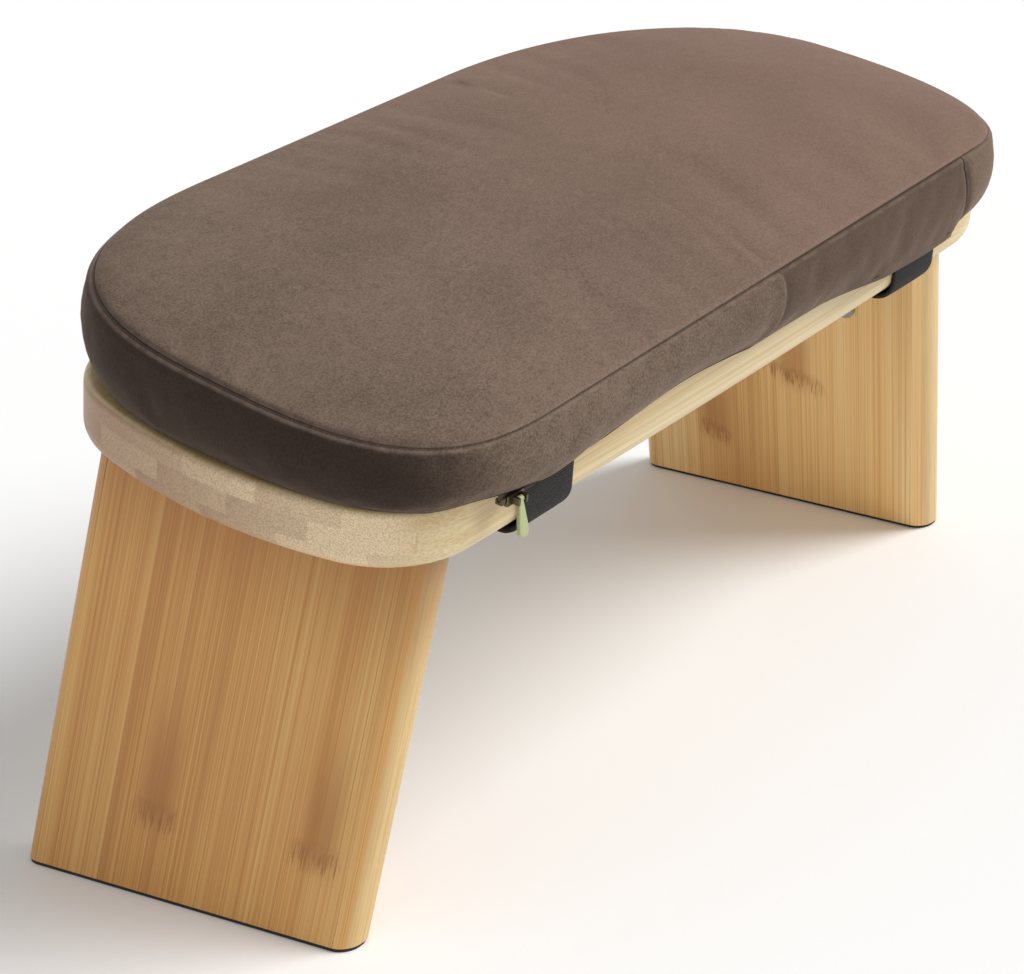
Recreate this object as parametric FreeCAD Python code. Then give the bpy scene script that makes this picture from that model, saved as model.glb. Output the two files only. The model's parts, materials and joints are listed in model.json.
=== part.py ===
# Folding meditation bench: a bamboo seat board on two splayed legs that fold
# inwards on wide butt hinges, under a zipped cushion held by two elastic straps.
# Everything is modelled in the seat's own frame first: x along the board,
# y across it with the low front edge at minus y, z square to the board and
# zero at its underside. The last step tilts the lot onto the floor.
import FreeCAD
import Part
import math
import os

os.makedirs("parts", exist_ok=True)
V = FreeCAD.Vector

# Seat board
seat_length = 450.0
seat_width = 180.0
seat_thickness = 26.5
seat_side_radius = 8600.0
seat_corner_radius = 45.0
seat_end_radius = 200.0
seat_top_round = 3.0
seat_bottom_round = 8.5
seat_tilt = 10.8

# Legs
leg_end_inset = 57.7
leg_width = 163.0
leg_thickness = 17.2
leg_length = 180.9
leg_splay = 13.5
leg_edge_round = 8.0
leg_back_shift = 3.8
leg_top_clearance = 0.3
leg_face_offset = seat_length / 2 - leg_end_inset

# Foot pads
pad_thickness = 1.6
pad_inset = 0.6

# Hinges
hinge_length = 89.0
hinge_reach = 50.0
hinge_leaf = 2.0
hinge_corner_round = 5.0
knuckle_radius = 3.5
knuckle_count = 5
knuckle_gap = 0.3
knuckle_to_wood = 0.3
pin_radius = 2.0
pin_running_clearance = 0.05
pin_chamfer = 0.4

# Countersunk hinge screws
screw_length = 14.0
screw_radius = 1.75
screw_head_radius = 3.6
screw_head_height = 1.8
screw_point_length = 3.5
screw_tip_radius = 0.35
screw_slot_width = 0.9
screw_slot_depth = 0.9
screw_slot_reach = 2.16
screw_near_pin = 14.0
screw_near_edge = 11.0
screw_end_inset = 14.0

# Cushion: its ends stop short of the board's and its long sides hang over the board
cushion_near_setback = 1.0
cushion_far_setback = 20.5
cushion_front_overhang = 11.5
cushion_back_overhang = 15.0
cushion_front_radius = 20000.0
cushion_back_radius = 1550.0
cushion_near_end_radius = 320.0
cushion_far_end_radius = 255.0
corner_near_front = 58.0
corner_near_back = 74.0
corner_far_front = 40.0
corner_far_back = 96.0
cushion_side_height = 33.0
cushion_crown = 8.0
cushion_bulge = 3.6
cushion_foot_inset = 4.0
cushion_foot_curve = 4
cushion_sections = 5
crown_curve = 4
crown_shares = (1.0, 0.96, 0.88, 0.74, 0.56, 0.38)
cover_thickness = 1.2
base_fabric_thickness = 1.5
short_band_length = 145.0
short_band_end_setback = 39.5

# Elastic straps
strap_end_inset = 92.0
strap_width = 32.0
strap_thickness = 1.5
strap_clearance = 0.3

# Zipper
zipper_start_setback = 53.5
zipper_end_tuck = 1.0
zipper_from_front = 6.5
zipper_web_width = 1.0
zipper_web_drop = 1.6
zipper_bead_width = 2.4
zipper_bead_height = 2.4
zipper_stop_length = 2.5
zipper_stop_width = 3.6
slider_length = 10.0
slider_wall = 0.9
slider_clearance = 0.2
slider_round = 0.5
ear_reach = 3.4
ear_width = 1.1
ear_height = 3.0
bail_radius = 0.6
bail_running_clearance = 0.05
pull_length = 16.5
pull_width = 5.8
pull_neck_width = 2.4
pull_thickness = 1.8
pull_edge_round = 0.6
pull_side_gap = 0.5

# Smallest difference that counts when edges are picked by their place
hair = 0.01

# Worked out from the sizes above
tilt = math.radians(seat_tilt)
splay = math.radians(leg_splay)
up = V(0, math.sin(tilt), math.cos(tilt))
leg_down = V(math.sin(splay), 0, -math.cos(splay))
pin_drop = knuckle_radius + knuckle_to_wood
pin_x = leg_face_offset - pin_drop * (1 - math.sin(splay)) / math.cos(splay)
foot_point = V(leg_face_offset, leg_back_shift, 0) + leg_down * leg_length
floor_level = foot_point.dot(up)
cushion_near_end = seat_length / 2 - cushion_near_setback
cushion_far_end = seat_length / 2 - cushion_far_setback
cushion_front = seat_width / 2 + cushion_front_overhang
cushion_back = seat_width / 2 + cushion_back_overhang
seam_level = seat_thickness + cushion_side_height
short_band_end = cushion_far_end - short_band_end_setback
short_band_start = short_band_end - short_band_length
strap_centre = seat_length / 2 - strap_end_inset
zipper_start = zipper_start_setback - cushion_near_end
zipper_end = strap_centre - zipper_end_tuck
reach = 4 * (seat_length + leg_length)


def corner_centre(half_length, half_width, side_radius, corner_radius, end_radius):
    """Centre of the corner arc that runs smoothly into the side arc and the end arc."""
    side = V(0, half_width - side_radius, 0)
    end = V(half_length - end_radius, 0, 0)
    from_side = side_radius - corner_radius
    from_end = end_radius - corner_radius
    apart = end - side
    span = apart.Length
    along = (from_side ** 2 - from_end ** 2 + span ** 2) / (2 * span)
    across = math.sqrt(from_side ** 2 - along ** 2)
    ahead = apart * (1 / span)
    square = V(ahead.y, -ahead.x, 0)
    first = side + ahead * along + square * across
    second = side + ahead * along - square * across
    return max(first, second, key=lambda point: point.x + point.y)


def quadrant(half_length, half_width, side_radius, corner_radius, end_radius):
    """The two joints of one quarter outline, and a point midway round its corner."""
    centre = corner_centre(half_length, half_width, side_radius, corner_radius, end_radius)
    from_side = (centre - V(0, half_width - side_radius, 0)).normalize()
    from_end = (centre - V(half_length - end_radius, 0, 0)).normalize()
    middle = (from_side + from_end).normalize()
    return [centre + way * corner_radius for way in (from_side, middle, from_end)]


def arc_about(centre, start, end):
    """The shorter arc round a centre from one point to another."""
    middle = ((start - centre) + (end - centre)).normalize()
    return Part.Arc(start, centre + middle * (start - centre).Length, end)


def oval(ends, sides, side_radii, corners, end_radii, z):
    """A closed outline of eight smooth arcs; ends are near, far and sides are front, back."""
    corner = {}
    for i, x_sign in enumerate((-1, 1)):
        for j, y_sign in enumerate((-1, 1)):
            points = quadrant(ends[i], sides[j], side_radii[j], corners[i][j], end_radii[i])
            corner[i, j] = [V(p.x * x_sign, p.y * y_sign, z) for p in points]
    front_centre = V(0, side_radii[0] - sides[0], z)
    back_centre = V(0, sides[1] - side_radii[1], z)
    near_centre = V(end_radii[0] - ends[0], 0, z)
    far_centre = V(ends[1] - end_radii[1], 0, z)
    arcs = [
        arc_about(front_centre, corner[0, 0][0], corner[1, 0][0]),
        Part.Arc(*corner[1, 0]),
        arc_about(far_centre, corner[1, 0][2], corner[1, 1][2]),
        Part.Arc(*reversed(corner[1, 1])),
        arc_about(back_centre, corner[1, 1][0], corner[0, 1][0]),
        Part.Arc(*corner[0, 1]),
        arc_about(near_centre, corner[0, 1][2], corner[0, 0][2]),
        Part.Arc(*reversed(corner[0, 0])),
    ]
    return Part.Wire([arc.toShape() for arc in arcs])


def seat_outline(z):
    """The board's outline, the same at both ends and on both sides."""
    return oval((seat_length / 2, seat_length / 2), (seat_width / 2, seat_width / 2),
                (seat_side_radius, seat_side_radius),
                ((seat_corner_radius, seat_corner_radius), (seat_corner_radius, seat_corner_radius)),
                (seat_end_radius, seat_end_radius), z)


def cushion_outline(z, grow=0.0, share=1.0):
    """The cushion's outline, grown outwards by some millimetres or shrunk to a share."""
    def size(value):
        return value * share + grow
    along = (1 + share) / 2
    return oval((cushion_near_end * along + grow, cushion_far_end * along + grow),
                (size(cushion_front), size(cushion_back)),
                (size(cushion_front_radius), size(cushion_back_radius)),
                ((size(corner_near_front), size(corner_near_back)),
                 (size(corner_far_front), size(corner_far_back))),
                (size(cushion_near_end_radius), size(cushion_far_end_radius)), z)


def box(x0, x1, y0, y1, z0, z1):
    """A block between two corners."""
    return Part.makeBox(x1 - x0, y1 - y0, z1 - z0, V(x0, y0, z0))


def rod(radius, start, end):
    """A round bar between two points."""
    return Part.makeCylinder(radius, (end - start).Length, start, end - start)


def edges_along(shape, axis):
    """The straight edges that run along one axis."""
    return [e for e in shape.Edges
            if len(e.Vertexes) == 2 and abs((e.Vertexes[1].Point - e.Vertexes[0].Point)
                                            .normalize().dot(axis)) > 0.999]


def mirrored(shape):
    """The same piece on the near end of the bench."""
    return shape.mirror(V(0, 0, 0), V(1, 0, 0))


def below_plane(level):
    """Everything lower than a level above the floor, as a large tilted block."""
    block = box(-reach, reach, -reach, reach, -reach, 0)
    block.rotate(V(0, 0, 0), V(1, 0, 0), -seat_tilt)
    block.translate(up * (floor_level + level))
    return block


def make_seat_blank():
    """The glued bamboo board before the screw holes."""
    blank = Part.Face(seat_outline(0)).extrude(V(0, 0, seat_thickness))
    rim_top = [e for e in blank.Edges if e.BoundBox.ZMin > seat_thickness - hair]
    blank = blank.makeFillet(seat_top_round, rim_top)
    rim_low = [e for e in blank.Edges if e.BoundBox.ZMax < hair]
    return blank.makeFillet(seat_bottom_round, rim_low)


def leg_prism(inset):
    """The far leg's cross section with its four long edges rounded, run up and down past both ends."""
    low = leg_back_shift - leg_width / 2 + inset
    high = leg_back_shift + leg_width / 2 - inset
    bar = box(inset, leg_thickness - inset, low, high, -2 * leg_length, leg_length)
    bar = bar.makeFillet(leg_edge_round - inset, edges_along(bar, V(0, 0, 1)))
    bar.rotate(V(0, 0, 0), V(0, 1, 0), -leg_splay)
    bar.translate(V(leg_face_offset, 0, 0))
    return bar


def make_leg_blank():
    """The leg board: its top bears on the seat and its foot lies flat on the floor."""
    above_seat = box(-reach, reach, -reach, reach, -leg_top_clearance, reach)
    return leg_prism(0).cut(above_seat).cut(below_plane(pad_thickness))


def make_foot_pad():
    """The thin rubber sole glued under the leg."""
    return leg_prism(pad_inset).common(below_plane(pad_thickness)).cut(below_plane(0))


def knuckle_span(index):
    """Where one knuckle starts and ends along the pin."""
    pitch = hinge_length / knuckle_count
    start = leg_back_shift - hinge_length / 2 + index * pitch
    return start + knuckle_gap / 2, start + pitch - knuckle_gap / 2


def hinge_leaf_on_seat(first, hole_radius):
    """A leaf that lies on the seat's underside, with every second knuckle from the first."""
    low = leg_back_shift - hinge_length / 2
    high = leg_back_shift + hinge_length / 2
    clear_x = pin_x - knuckle_radius - knuckle_gap
    leaf = box(pin_x - hinge_reach, clear_x, low, high, -hinge_leaf, 0)
    far_edges = [e for e in edges_along(leaf, V(0, 0, 1)) if e.BoundBox.XMax < pin_x - hinge_reach + 1]
    leaf = leaf.makeFillet(hinge_corner_round, far_edges)
    for index in range(first, knuckle_count, 2):
        start, end = knuckle_span(index)
        barrel = rod(knuckle_radius, V(pin_x, start, -pin_drop), V(pin_x, end, -pin_drop))
        tongue = box(clear_x, pin_x, start, end, -hinge_leaf, 0)
        round_off = box(pin_x - knuckle_radius, pin_x, start, end, -knuckle_to_wood, 0)
        leaf = leaf.fuse(tongue.cut(round_off)).fuse(barrel)
    bore = rod(hole_radius, V(pin_x, low - 1, -pin_drop), V(pin_x, high + 1, -pin_drop))
    return leaf.cut(bore).removeSplitter()


def screw_blank(x, y):
    """The outside shape of one countersunk screw, driven up through a leaf."""
    neck_height = -hinge_leaf + screw_head_height
    head = Part.makeCone(screw_head_radius, screw_radius, screw_head_height, V(x, y, -hinge_leaf))
    shoulder = V(x, y, screw_length - hinge_leaf - screw_point_length)
    shank = rod(screw_radius, V(x, y, neck_height), shoulder)
    point = Part.makeCone(screw_radius, screw_tip_radius, screw_point_length, shoulder)
    return head.fuse(shank).fuse(point)


def screw_on_seat(x, y):
    """One screw with the cross recess in its head."""
    arm = screw_slot_reach
    half = screw_slot_width / 2
    top = -hinge_leaf + screw_slot_depth
    recess = box(x - arm, x + arm, y - half, y + half, -2 * hinge_leaf, top)
    recess = recess.fuse(box(x - half, x + half, y - arm, y + arm, -2 * hinge_leaf, top))
    return screw_blank(x, y).cut(recess)


def screw_places():
    """The middles of the four screws of one leaf."""
    along = hinge_length / 2 - screw_end_inset
    rows = (pin_x - screw_near_pin, pin_x - hinge_reach + screw_near_edge)
    return [(x, leg_back_shift + side * along) for x in rows for side in (-1, 1)]


def onto_leg(shape):
    """Flip a piece made on the seat's underside over the pin, then open it onto the leg."""
    moved = shape.mirror(V(pin_x, 0, -pin_drop), V(0, 0, 1))
    moved.rotate(V(pin_x, 0, -pin_drop), V(0, 1, 0), -(90 + leg_splay))
    return moved


def make_pin():
    """The hinge pin, as long as the barrel, with rounded ends."""
    half = V(0, hinge_length / 2 - knuckle_gap / 2, 0)
    middle = V(pin_x, leg_back_shift, -pin_drop)
    pin = rod(pin_radius, middle - half, middle + half)
    return pin.makeChamfer(pin_chamfer, [e for e in pin.Edges if e.Curve.TypeId == "Part::GeomCircle"])


def cushion_sides(low, high, shrink):
    """The cushion between two levels above the board: drawn in at its foot and swollen midway."""
    wires = []
    for step in range(cushion_sections):
        level = low + (high - low) * step / (cushion_sections - 1)
        share = level / cushion_side_height
        bulge = 4 * cushion_bulge * share * (1 - share)
        tuck = cushion_foot_inset * (1 - share) ** cushion_foot_curve
        wires.append(cushion_outline(seat_thickness + level, bulge - tuck - shrink))
    return Part.makeLoft(wires, True, False)


def cushion_top(shrink):
    """The crown above the seam, steep at the rim and nearly flat in the middle."""
    height = cushion_crown - shrink
    wires = []
    for share in crown_shares:
        level = seam_level + height * (1 - share ** crown_curve)
        wires.append(cushion_outline(level, -shrink, share))
    return Part.makeLoft(wires, True, False)


def make_cushion():
    """The foam and the four cloth pieces sewn round it."""
    base, top = base_fabric_thickness, cushion_side_height
    foam_sides = cushion_sides(base, top, cover_thickness)
    foam_top = cushion_top(cover_thickness)
    band = cushion_sides(base, top, 0).cut(foam_sides)
    short_zone = box(short_band_start, short_band_end, -reach, 0, -reach, reach)
    return {
        "cushion_foam": foam_sides.fuse(foam_top),
        "cushion_top_panel": cushion_top(0).cut(foam_top),
        "cushion_long_band": band.cut(short_zone),
        "cushion_short_band": band.common(short_zone),
        "cushion_base_panel": cushion_sides(0, base, 0),
    }


def seat_half_width_at(x):
    """How far the bowed side of the board stands from the middle line."""
    return seat_width / 2 - seat_side_radius + math.sqrt(seat_side_radius ** 2 - x ** 2)


def make_strap():
    """A flat elastic loop from the cushion's front edge, under the board, to its back edge."""
    x0, x1 = strap_centre - strap_width / 2, strap_centre + strap_width / 2
    half = seat_half_width_at(x0) + strap_clearance
    low = -hinge_leaf - strap_clearance

    def sleeve(grow):
        block = box(x0, x1, -half - grow, half + grow, low - grow, 2 * seat_thickness)
        bottom = [e for e in edges_along(block, V(1, 0, 0)) if e.BoundBox.ZMax < low - grow + hair]
        return block.makeFillet(seat_bottom_round + strap_clearance + grow, bottom)

    above = box(x0 - 1, x1 + 1, -reach, reach, seat_thickness, reach)
    return sleeve(strap_thickness).cut(sleeve(0)).cut(above)


def zipper_line():
    """The height of the bead's middle and how far the row of teeth stands in front."""
    y = -(cushion_front - zipper_from_front)
    z = seat_thickness - zipper_web_drop - zipper_bead_height / 2
    return y, z


def make_zipper_tape():
    """The tape and closed teeth under the cushion's front edge, with a stop at each end."""
    y, z = zipper_line()
    web = box(zipper_start, zipper_end, y - zipper_web_width / 2, y + zipper_web_width / 2,
              z, seat_thickness)
    bead = box(zipper_start, zipper_end, y - zipper_bead_width / 2, y + zipper_bead_width / 2,
               z - zipper_bead_height / 2, z + zipper_bead_height / 2)
    tape = web.fuse(bead)
    for x in (zipper_start, zipper_end - zipper_stop_length):
        tape = tape.fuse(box(x, x + zipper_stop_length, y - zipper_stop_width / 2, y + zipper_stop_width / 2,
                             z - zipper_bead_height / 2, z + zipper_bead_height / 2))
    return tape.removeSplitter()


def slider_places():
    """The slider's rear end, and the middle of the small bail that carries the pull."""
    y, z = zipper_line()
    x0 = zipper_start + zipper_stop_length + slider_clearance
    front = y - zipper_bead_width / 2 - slider_clearance - slider_wall
    bail = V(x0 + slider_length / 2, front - ear_reach / 2, z)
    return x0, front, bail


def make_slider():
    """The slider: a channel that wraps the teeth from below, two ears and a bail between them."""
    y, z = zipper_line()
    x0, front, bail = slider_places()
    back = 2 * y - front
    gap = zipper_bead_height / 2 + slider_clearance
    body = box(x0, x0 + slider_length, front, back, z - gap - slider_wall, z + gap + slider_wall / 2)
    body = body.makeFillet(slider_round, edges_along(body, V(0, 0, 1)))
    half = zipper_bead_width / 2 + slider_clearance
    web_half = zipper_web_width / 2 + slider_clearance
    body = body.cut(box(x0 - 1, x0 + slider_length + 1, y - half, y + half, z - gap, z + gap))
    body = body.cut(box(x0 - 1, x0 + slider_length + 1, y - web_half, y + web_half, z, z + 4 * gap))
    inner = pull_neck_width / 2 + pull_side_gap
    for side in (-1, 1):
        ends = sorted((bail.x + side * inner, bail.x + side * (inner + ear_width)))
        ear = box(ends[0], ends[1], front - ear_reach, front, z - ear_height / 2, z + ear_height / 2)
        body = body.fuse(ear)
    body = body.fuse(rod(bail_radius, bail - V(inner, 0, 0), bail + V(inner, 0, 0)))
    return body.removeSplitter()


def make_pull():
    """The drop-shaped pull, hanging plumb from its eye."""
    bail = slider_places()[2]
    eye_radius = bail_radius + bail_running_clearance
    top_radius = pull_neck_width / 2
    low_radius = pull_width / 2
    drop = pull_length - top_radius - low_radius
    lean = math.asin((low_radius - top_radius) / drop)
    y0 = -pull_thickness / 2

    def at(radius, turn, z):
        return V(radius * math.cos(turn), y0, z + radius * math.sin(turn))

    right_top, right_low = at(top_radius, lean, 0), at(low_radius, lean, -drop)
    left_top = V(-right_top.x, y0, right_top.z)
    left_low = V(-right_low.x, y0, right_low.z)
    outline = Part.Wire([
        Part.Arc(left_top, V(0, y0, top_radius), right_top).toShape(),
        Part.LineSegment(right_top, right_low).toShape(),
        Part.Arc(right_low, V(0, y0, -drop - low_radius), left_low).toShape(),
        Part.LineSegment(left_low, left_top).toShape(),
    ])
    blade = Part.Face(outline).extrude(V(0, pull_thickness, 0))
    blade = blade.makeFillet(pull_edge_round, blade.Edges)
    eye = rod(top_radius, V(-top_radius, 0, 0), V(top_radius, 0, 0))
    pull = blade.fuse(eye).cut(rod(eye_radius, V(-pull_width, 0, 0), V(pull_width, 0, 0)))
    pull.rotate(V(0, 0, 0), V(1, 0, 0), -seat_tilt)
    pull.translate(bail)
    return pull


def build_all():
    """Every piece in the seat's frame, by name."""
    seat_screws = [screw_on_seat(*place) for place in screw_places()]
    seat_holes = [screw_blank(*place) for place in screw_places()]
    seat_leaf = hinge_leaf_on_seat(0, pin_radius)
    leg_leaf = onto_leg(hinge_leaf_on_seat(1, pin_radius + pin_running_clearance))
    leg = make_leg_blank()
    seat = make_seat_blank()
    for hole in seat_holes:
        seat = seat.cut(hole).cut(mirrored(hole))
        seat_leaf = seat_leaf.cut(hole)
        leg = leg.cut(onto_leg(hole))
        leg_leaf = leg_leaf.cut(onto_leg(hole))
    one_side = {
        "leg_board": leg,
        "foot_pad": make_foot_pad(),
        "hinge_seat_leaf": seat_leaf,
        "hinge_leg_leaf": leg_leaf,
        "hinge_pin": make_pin(),
        "hinge_seat_screws": Part.Compound(seat_screws),
        "hinge_leg_screws": Part.Compound([onto_leg(screw) for screw in seat_screws]),
        "elastic_strap": make_strap(),
    }
    pieces = {"seat_board": seat}
    for name, shape in one_side.items():
        pieces["right_" + name] = shape
        pieces["left_" + name] = mirrored(shape)
    pieces.update(make_cushion())
    pieces["zipper_tape"] = make_zipper_tape()
    pieces["zipper_slider"] = make_slider()
    pieces["zipper_pull"] = make_pull()
    return pieces


def onto_floor(shape, middle_y):
    """Tilt a piece with the seat and set it over the floor."""
    placed = shape.copy()
    placed.rotate(V(0, 0, 0), V(1, 0, 0), seat_tilt)
    placed.translate(V(0, -middle_y, -floor_level))
    return placed


pieces = build_all()
tilted = [onto_floor(shape, 0).optimalBoundingBox(False, False) for shape in pieces.values()]
middle_y = (min(b.YMin for b in tilted) + max(b.YMax for b in tilted)) / 2
for name, shape in pieces.items():
    placed = onto_floor(shape, middle_y)
    placed.exportStep("parts/" + name + ".step")
    print(name, len(placed.Solids), placed.isValid(), round(placed.Volume))
print("middle of the depth", round(middle_y, 3), "floor level", round(floor_level, 3))
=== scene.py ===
# %% [markdown]
# A folding meditation bench: a bamboo seat, two bamboo legs on butt hinges and a
# velvet cushion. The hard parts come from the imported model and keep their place.
# This lesson finishes them and makes the soft parts round them.

# %% Load the fixed frame
import json
import math

import bmesh
import bpy
import numpy as np
from mathutils import Matrix, Quaternion, Vector, noise


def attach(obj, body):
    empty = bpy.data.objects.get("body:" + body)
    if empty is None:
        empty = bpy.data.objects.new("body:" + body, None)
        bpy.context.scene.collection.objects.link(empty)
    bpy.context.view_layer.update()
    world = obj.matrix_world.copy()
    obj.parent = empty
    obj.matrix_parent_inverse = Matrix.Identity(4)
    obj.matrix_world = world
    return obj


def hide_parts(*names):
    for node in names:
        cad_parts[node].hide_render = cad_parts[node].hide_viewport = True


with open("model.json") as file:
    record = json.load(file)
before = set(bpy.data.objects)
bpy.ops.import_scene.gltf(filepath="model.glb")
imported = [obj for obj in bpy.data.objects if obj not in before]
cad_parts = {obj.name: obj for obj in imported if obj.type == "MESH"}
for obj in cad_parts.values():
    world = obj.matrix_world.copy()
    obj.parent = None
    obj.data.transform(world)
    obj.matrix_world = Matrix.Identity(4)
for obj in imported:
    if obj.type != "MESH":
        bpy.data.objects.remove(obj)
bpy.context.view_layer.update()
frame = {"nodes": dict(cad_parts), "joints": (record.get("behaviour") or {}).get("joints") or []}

MM = 0.001

# %% [markdown]
# The seat slopes forward, so nothing on it lines up with the world's axes. Every
# soft piece is easier to make flat, in millimetres, in the seat's own frame, and
# one matrix then sets it on the bench. The hinge joints give that frame exactly.

# %% The seat's own frame
LEG_BACK_SHIFT = 3.8
PIN_DROP = 3.8
LEG_SPLAY = math.radians(13.5)
LEG_FACE = 167.3
joints = {joint["name"]: joint for joint in frame["joints"]}
ACROSS = Vector(joints["right_leg_fold"]["axis"])
ALONG = Vector((1, 0, 0))
NORMAL = ALONG.cross(ACROSS)
pin = Vector(joints["right_leg_fold"]["pos_m"])
underside = Vector((0, pin.y, pin.z)) + (NORMAL * PIN_DROP - ACROSS * LEG_BACK_SHIFT) * MM


def frame_matrix(x_axis, y_axis, z_axis, origin):
    """Millimetres in a local frame to metres in the world."""
    axes = Matrix((x_axis, y_axis, z_axis)).transposed().to_4x4()
    return Matrix.Translation(origin) @ axes @ Matrix.Scale(MM, 4)


SEAT = frame_matrix(ALONG, ACROSS, NORMAL, underside)


def leg_frame(side):
    """Local x up the leg, y across it, z through its thickness; side is -1 near, 1 far."""
    up_leg = Vector((-side * math.sin(LEG_SPLAY), 0, math.cos(LEG_SPLAY)))
    outward = Vector((side * math.cos(LEG_SPLAY), 0, math.sin(LEG_SPLAY)))
    turn = SEAT.to_3x3() * (1 / MM)
    x_axis, z_axis = turn @ up_leg, turn @ outward
    place = SEAT @ Vector((side * LEG_FACE, LEG_BACK_SHIFT, 0))
    return frame_matrix(x_axis, z_axis.cross(x_axis), z_axis, place)


print("seat slope", round(math.degrees(math.asin(ACROSS.z)), 2), "degrees")

# %% [markdown]
# The camera was worked out from the outlines of the board and legs: a long lens
# from the near left, a little above, rolled a few degrees.

# %% Camera
LENS = 117.63
CAMERA_PLACE = Vector((-1.0257, -0.7995, 0.6618))
CAMERA_AZIMUTH = math.radians(51.06)
CAMERA_ELEVATION = math.radians(23.44)
CAMERA_ROLL = math.radians(-5.36)


def make_camera():
    """The photograph's viewpoint."""
    data = bpy.data.cameras.new("camera")
    data.lens = LENS
    data.sensor_width = 36
    data.clip_end = 20
    camera = bpy.data.objects.new("camera", data)
    flat = math.cos(CAMERA_ELEVATION)
    ahead = Vector((math.sin(CAMERA_AZIMUTH) * flat, math.cos(CAMERA_AZIMUTH) * flat,
                    -math.sin(CAMERA_ELEVATION)))
    camera.location = CAMERA_PLACE
    camera.rotation_mode = "QUATERNION"
    camera.rotation_quaternion = ahead.to_track_quat("-Z", "Y") @ Quaternion((0, 0, 1), CAMERA_ROLL)
    bpy.context.scene.collection.objects.link(camera)
    bpy.context.scene.camera = camera
    return camera


print("lens", LENS, "mm at", [round(value, 3) for value in make_camera().location])

# %% [markdown]
# Colours are written as the hex values that a picture shows, and one function
# turns them to the linear values that the shaders work in. One more function adds
# a node with its settings and links, so that each material reads as a list.

# %% Colour and node helpers


def paint(code, alpha=1.0):
    """An sRGB hex colour as linear values."""
    parts = [int(code[i:i + 2], 16) / 255 for i in (1, 3, 5)]
    linear = [c / 12.92 if c <= 0.04045 else ((c + 0.055) / 1.055) ** 2.4 for c in parts]
    return (*linear, alpha)


def add_node(tree, kind, inputs=None, **settings):
    """Adds a node, sets its properties, and fills or links its inputs."""
    node = tree.nodes.new(kind)
    for name, value in settings.items():
        setattr(node, name, value)
    for key, value in (inputs or {}).items():
        if isinstance(value, bpy.types.NodeSocket):
            tree.links.new(value, node.inputs[key])
        else:
            node.inputs[key].default_value = value
    return node


def new_material(name):
    """An empty material with its output, and the tree to build it in."""
    material = bpy.data.materials.new(name)
    material.use_nodes = True
    material.node_tree.nodes.clear()
    return material, material.node_tree


def finish_material(tree, shader):
    """Links the surface shader to the output."""
    add_node(tree, "ShaderNodeOutputMaterial", {"Surface": shader.outputs[0]})


def local_place(tree, matrix):
    """Object coordinates turned into millimetres of a local frame."""
    place, turn, size = matrix.inverted().decompose()
    coords = add_node(tree, "ShaderNodeTexCoord")
    mapping = add_node(tree, "ShaderNodeMapping", {
        "Vector": coords.outputs["Object"], "Location": place,
        "Rotation": turn.to_euler(), "Scale": size})
    return mapping.outputs[0]


def local_facing(tree, direction):
    """How squarely the surface faces along a direction of the object, from 0 to 1."""
    coords = add_node(tree, "ShaderNodeTexCoord")
    dot = add_node(tree, "ShaderNodeVectorMath", {0: coords.outputs["Normal"], 1: direction},
                   operation="DOT_PRODUCT")
    return add_node(tree, "ShaderNodeMath", {0: dot.outputs["Value"]}, operation="ABSOLUTE").outputs[0]


def math_node(tree, operation, first, second=0.0, third=0.0):
    """One step of arithmetic on a value."""
    return add_node(tree, "ShaderNodeMath", {0: first, 1: second, 2: third}, operation=operation).outputs[0]


def blend_colours(tree, share, first, second):
    """Two colours mixed by a share."""
    mix = add_node(tree, "ShaderNodeMix", data_type="RGBA")
    for index, value in ((0, share), (6, first), (7, second)):
        if isinstance(value, bpy.types.NodeSocket):
            tree.links.new(value, mix.inputs[index])
        else:
            mix.inputs[index].default_value = value
    return mix.outputs[2]


def smooth_step(tree, value, low, high):
    """0 below low, 1 above high, and a smooth rise between."""
    step = add_node(tree, "ShaderNodeMapRange", {"Value": value, "From Min": low, "From Max": high},
                    interpolation_type="SMOOTHSTEP")
    return step.outputs[0]


def smooth_fall(tree, value, low, high):
    """1 below low, 0 above high, and a smooth fall between."""
    return math_node(tree, "SUBTRACT", 1.0, smooth_step(tree, value, low, high))


print("white is", [round(value, 3) for value in paint("#FFFFFF")])

# %% [markdown]
# Bamboo boards are glued from split and planed cane. The strips run the whole
# length, each with its own tone. Where the cane had a joint, a short hatched mark
# crosses a strip, and a brown stain runs up the grain from it.

# %% Marks of the cane
JOINT_RAG = 22.0
JOINT_SLANT = 0.12


def stretched_noise(tree, spot, size, detail):
    """Noise whose grains have a size in millimetres along each local axis."""
    place = add_node(tree, "ShaderNodeVectorMath", {0: spot, 1: [1 / s for s in size]},
                     operation="MULTIPLY")
    grains = add_node(tree, "ShaderNodeTexNoise", {
        "Vector": place.outputs[0], "Scale": 1.0, "Detail": detail})
    return grains.outputs[0]


def distance_aside(tree, y, across):
    """How far a place lies to either side of a line along the grain."""
    return math_node(tree, "ABSOLUTE", math_node(tree, "SUBTRACT", y, across))


def cane_joint(tree, x, y, jag, along, across, half_width):
    """How strongly a joint of the cane marks a place: a ragged band across one strip."""
    ragged = math_node(tree, "MULTIPLY_ADD", jag, JOINT_RAG, -JOINT_RAG / 2)
    height = math_node(tree, "ADD", math_node(tree, "SUBTRACT", x, along), ragged)
    slanted = math_node(tree, "MULTIPLY_ADD", math_node(tree, "SUBTRACT", y, across), JOINT_SLANT, height)
    band = smooth_fall(tree, math_node(tree, "ABSOLUTE", slanted), 2.0, 6.5)
    inside = smooth_fall(tree, distance_aside(tree, y, across), half_width - 3.0, half_width + 2.0)
    return math_node(tree, "MULTIPLY", band, inside)


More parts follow.
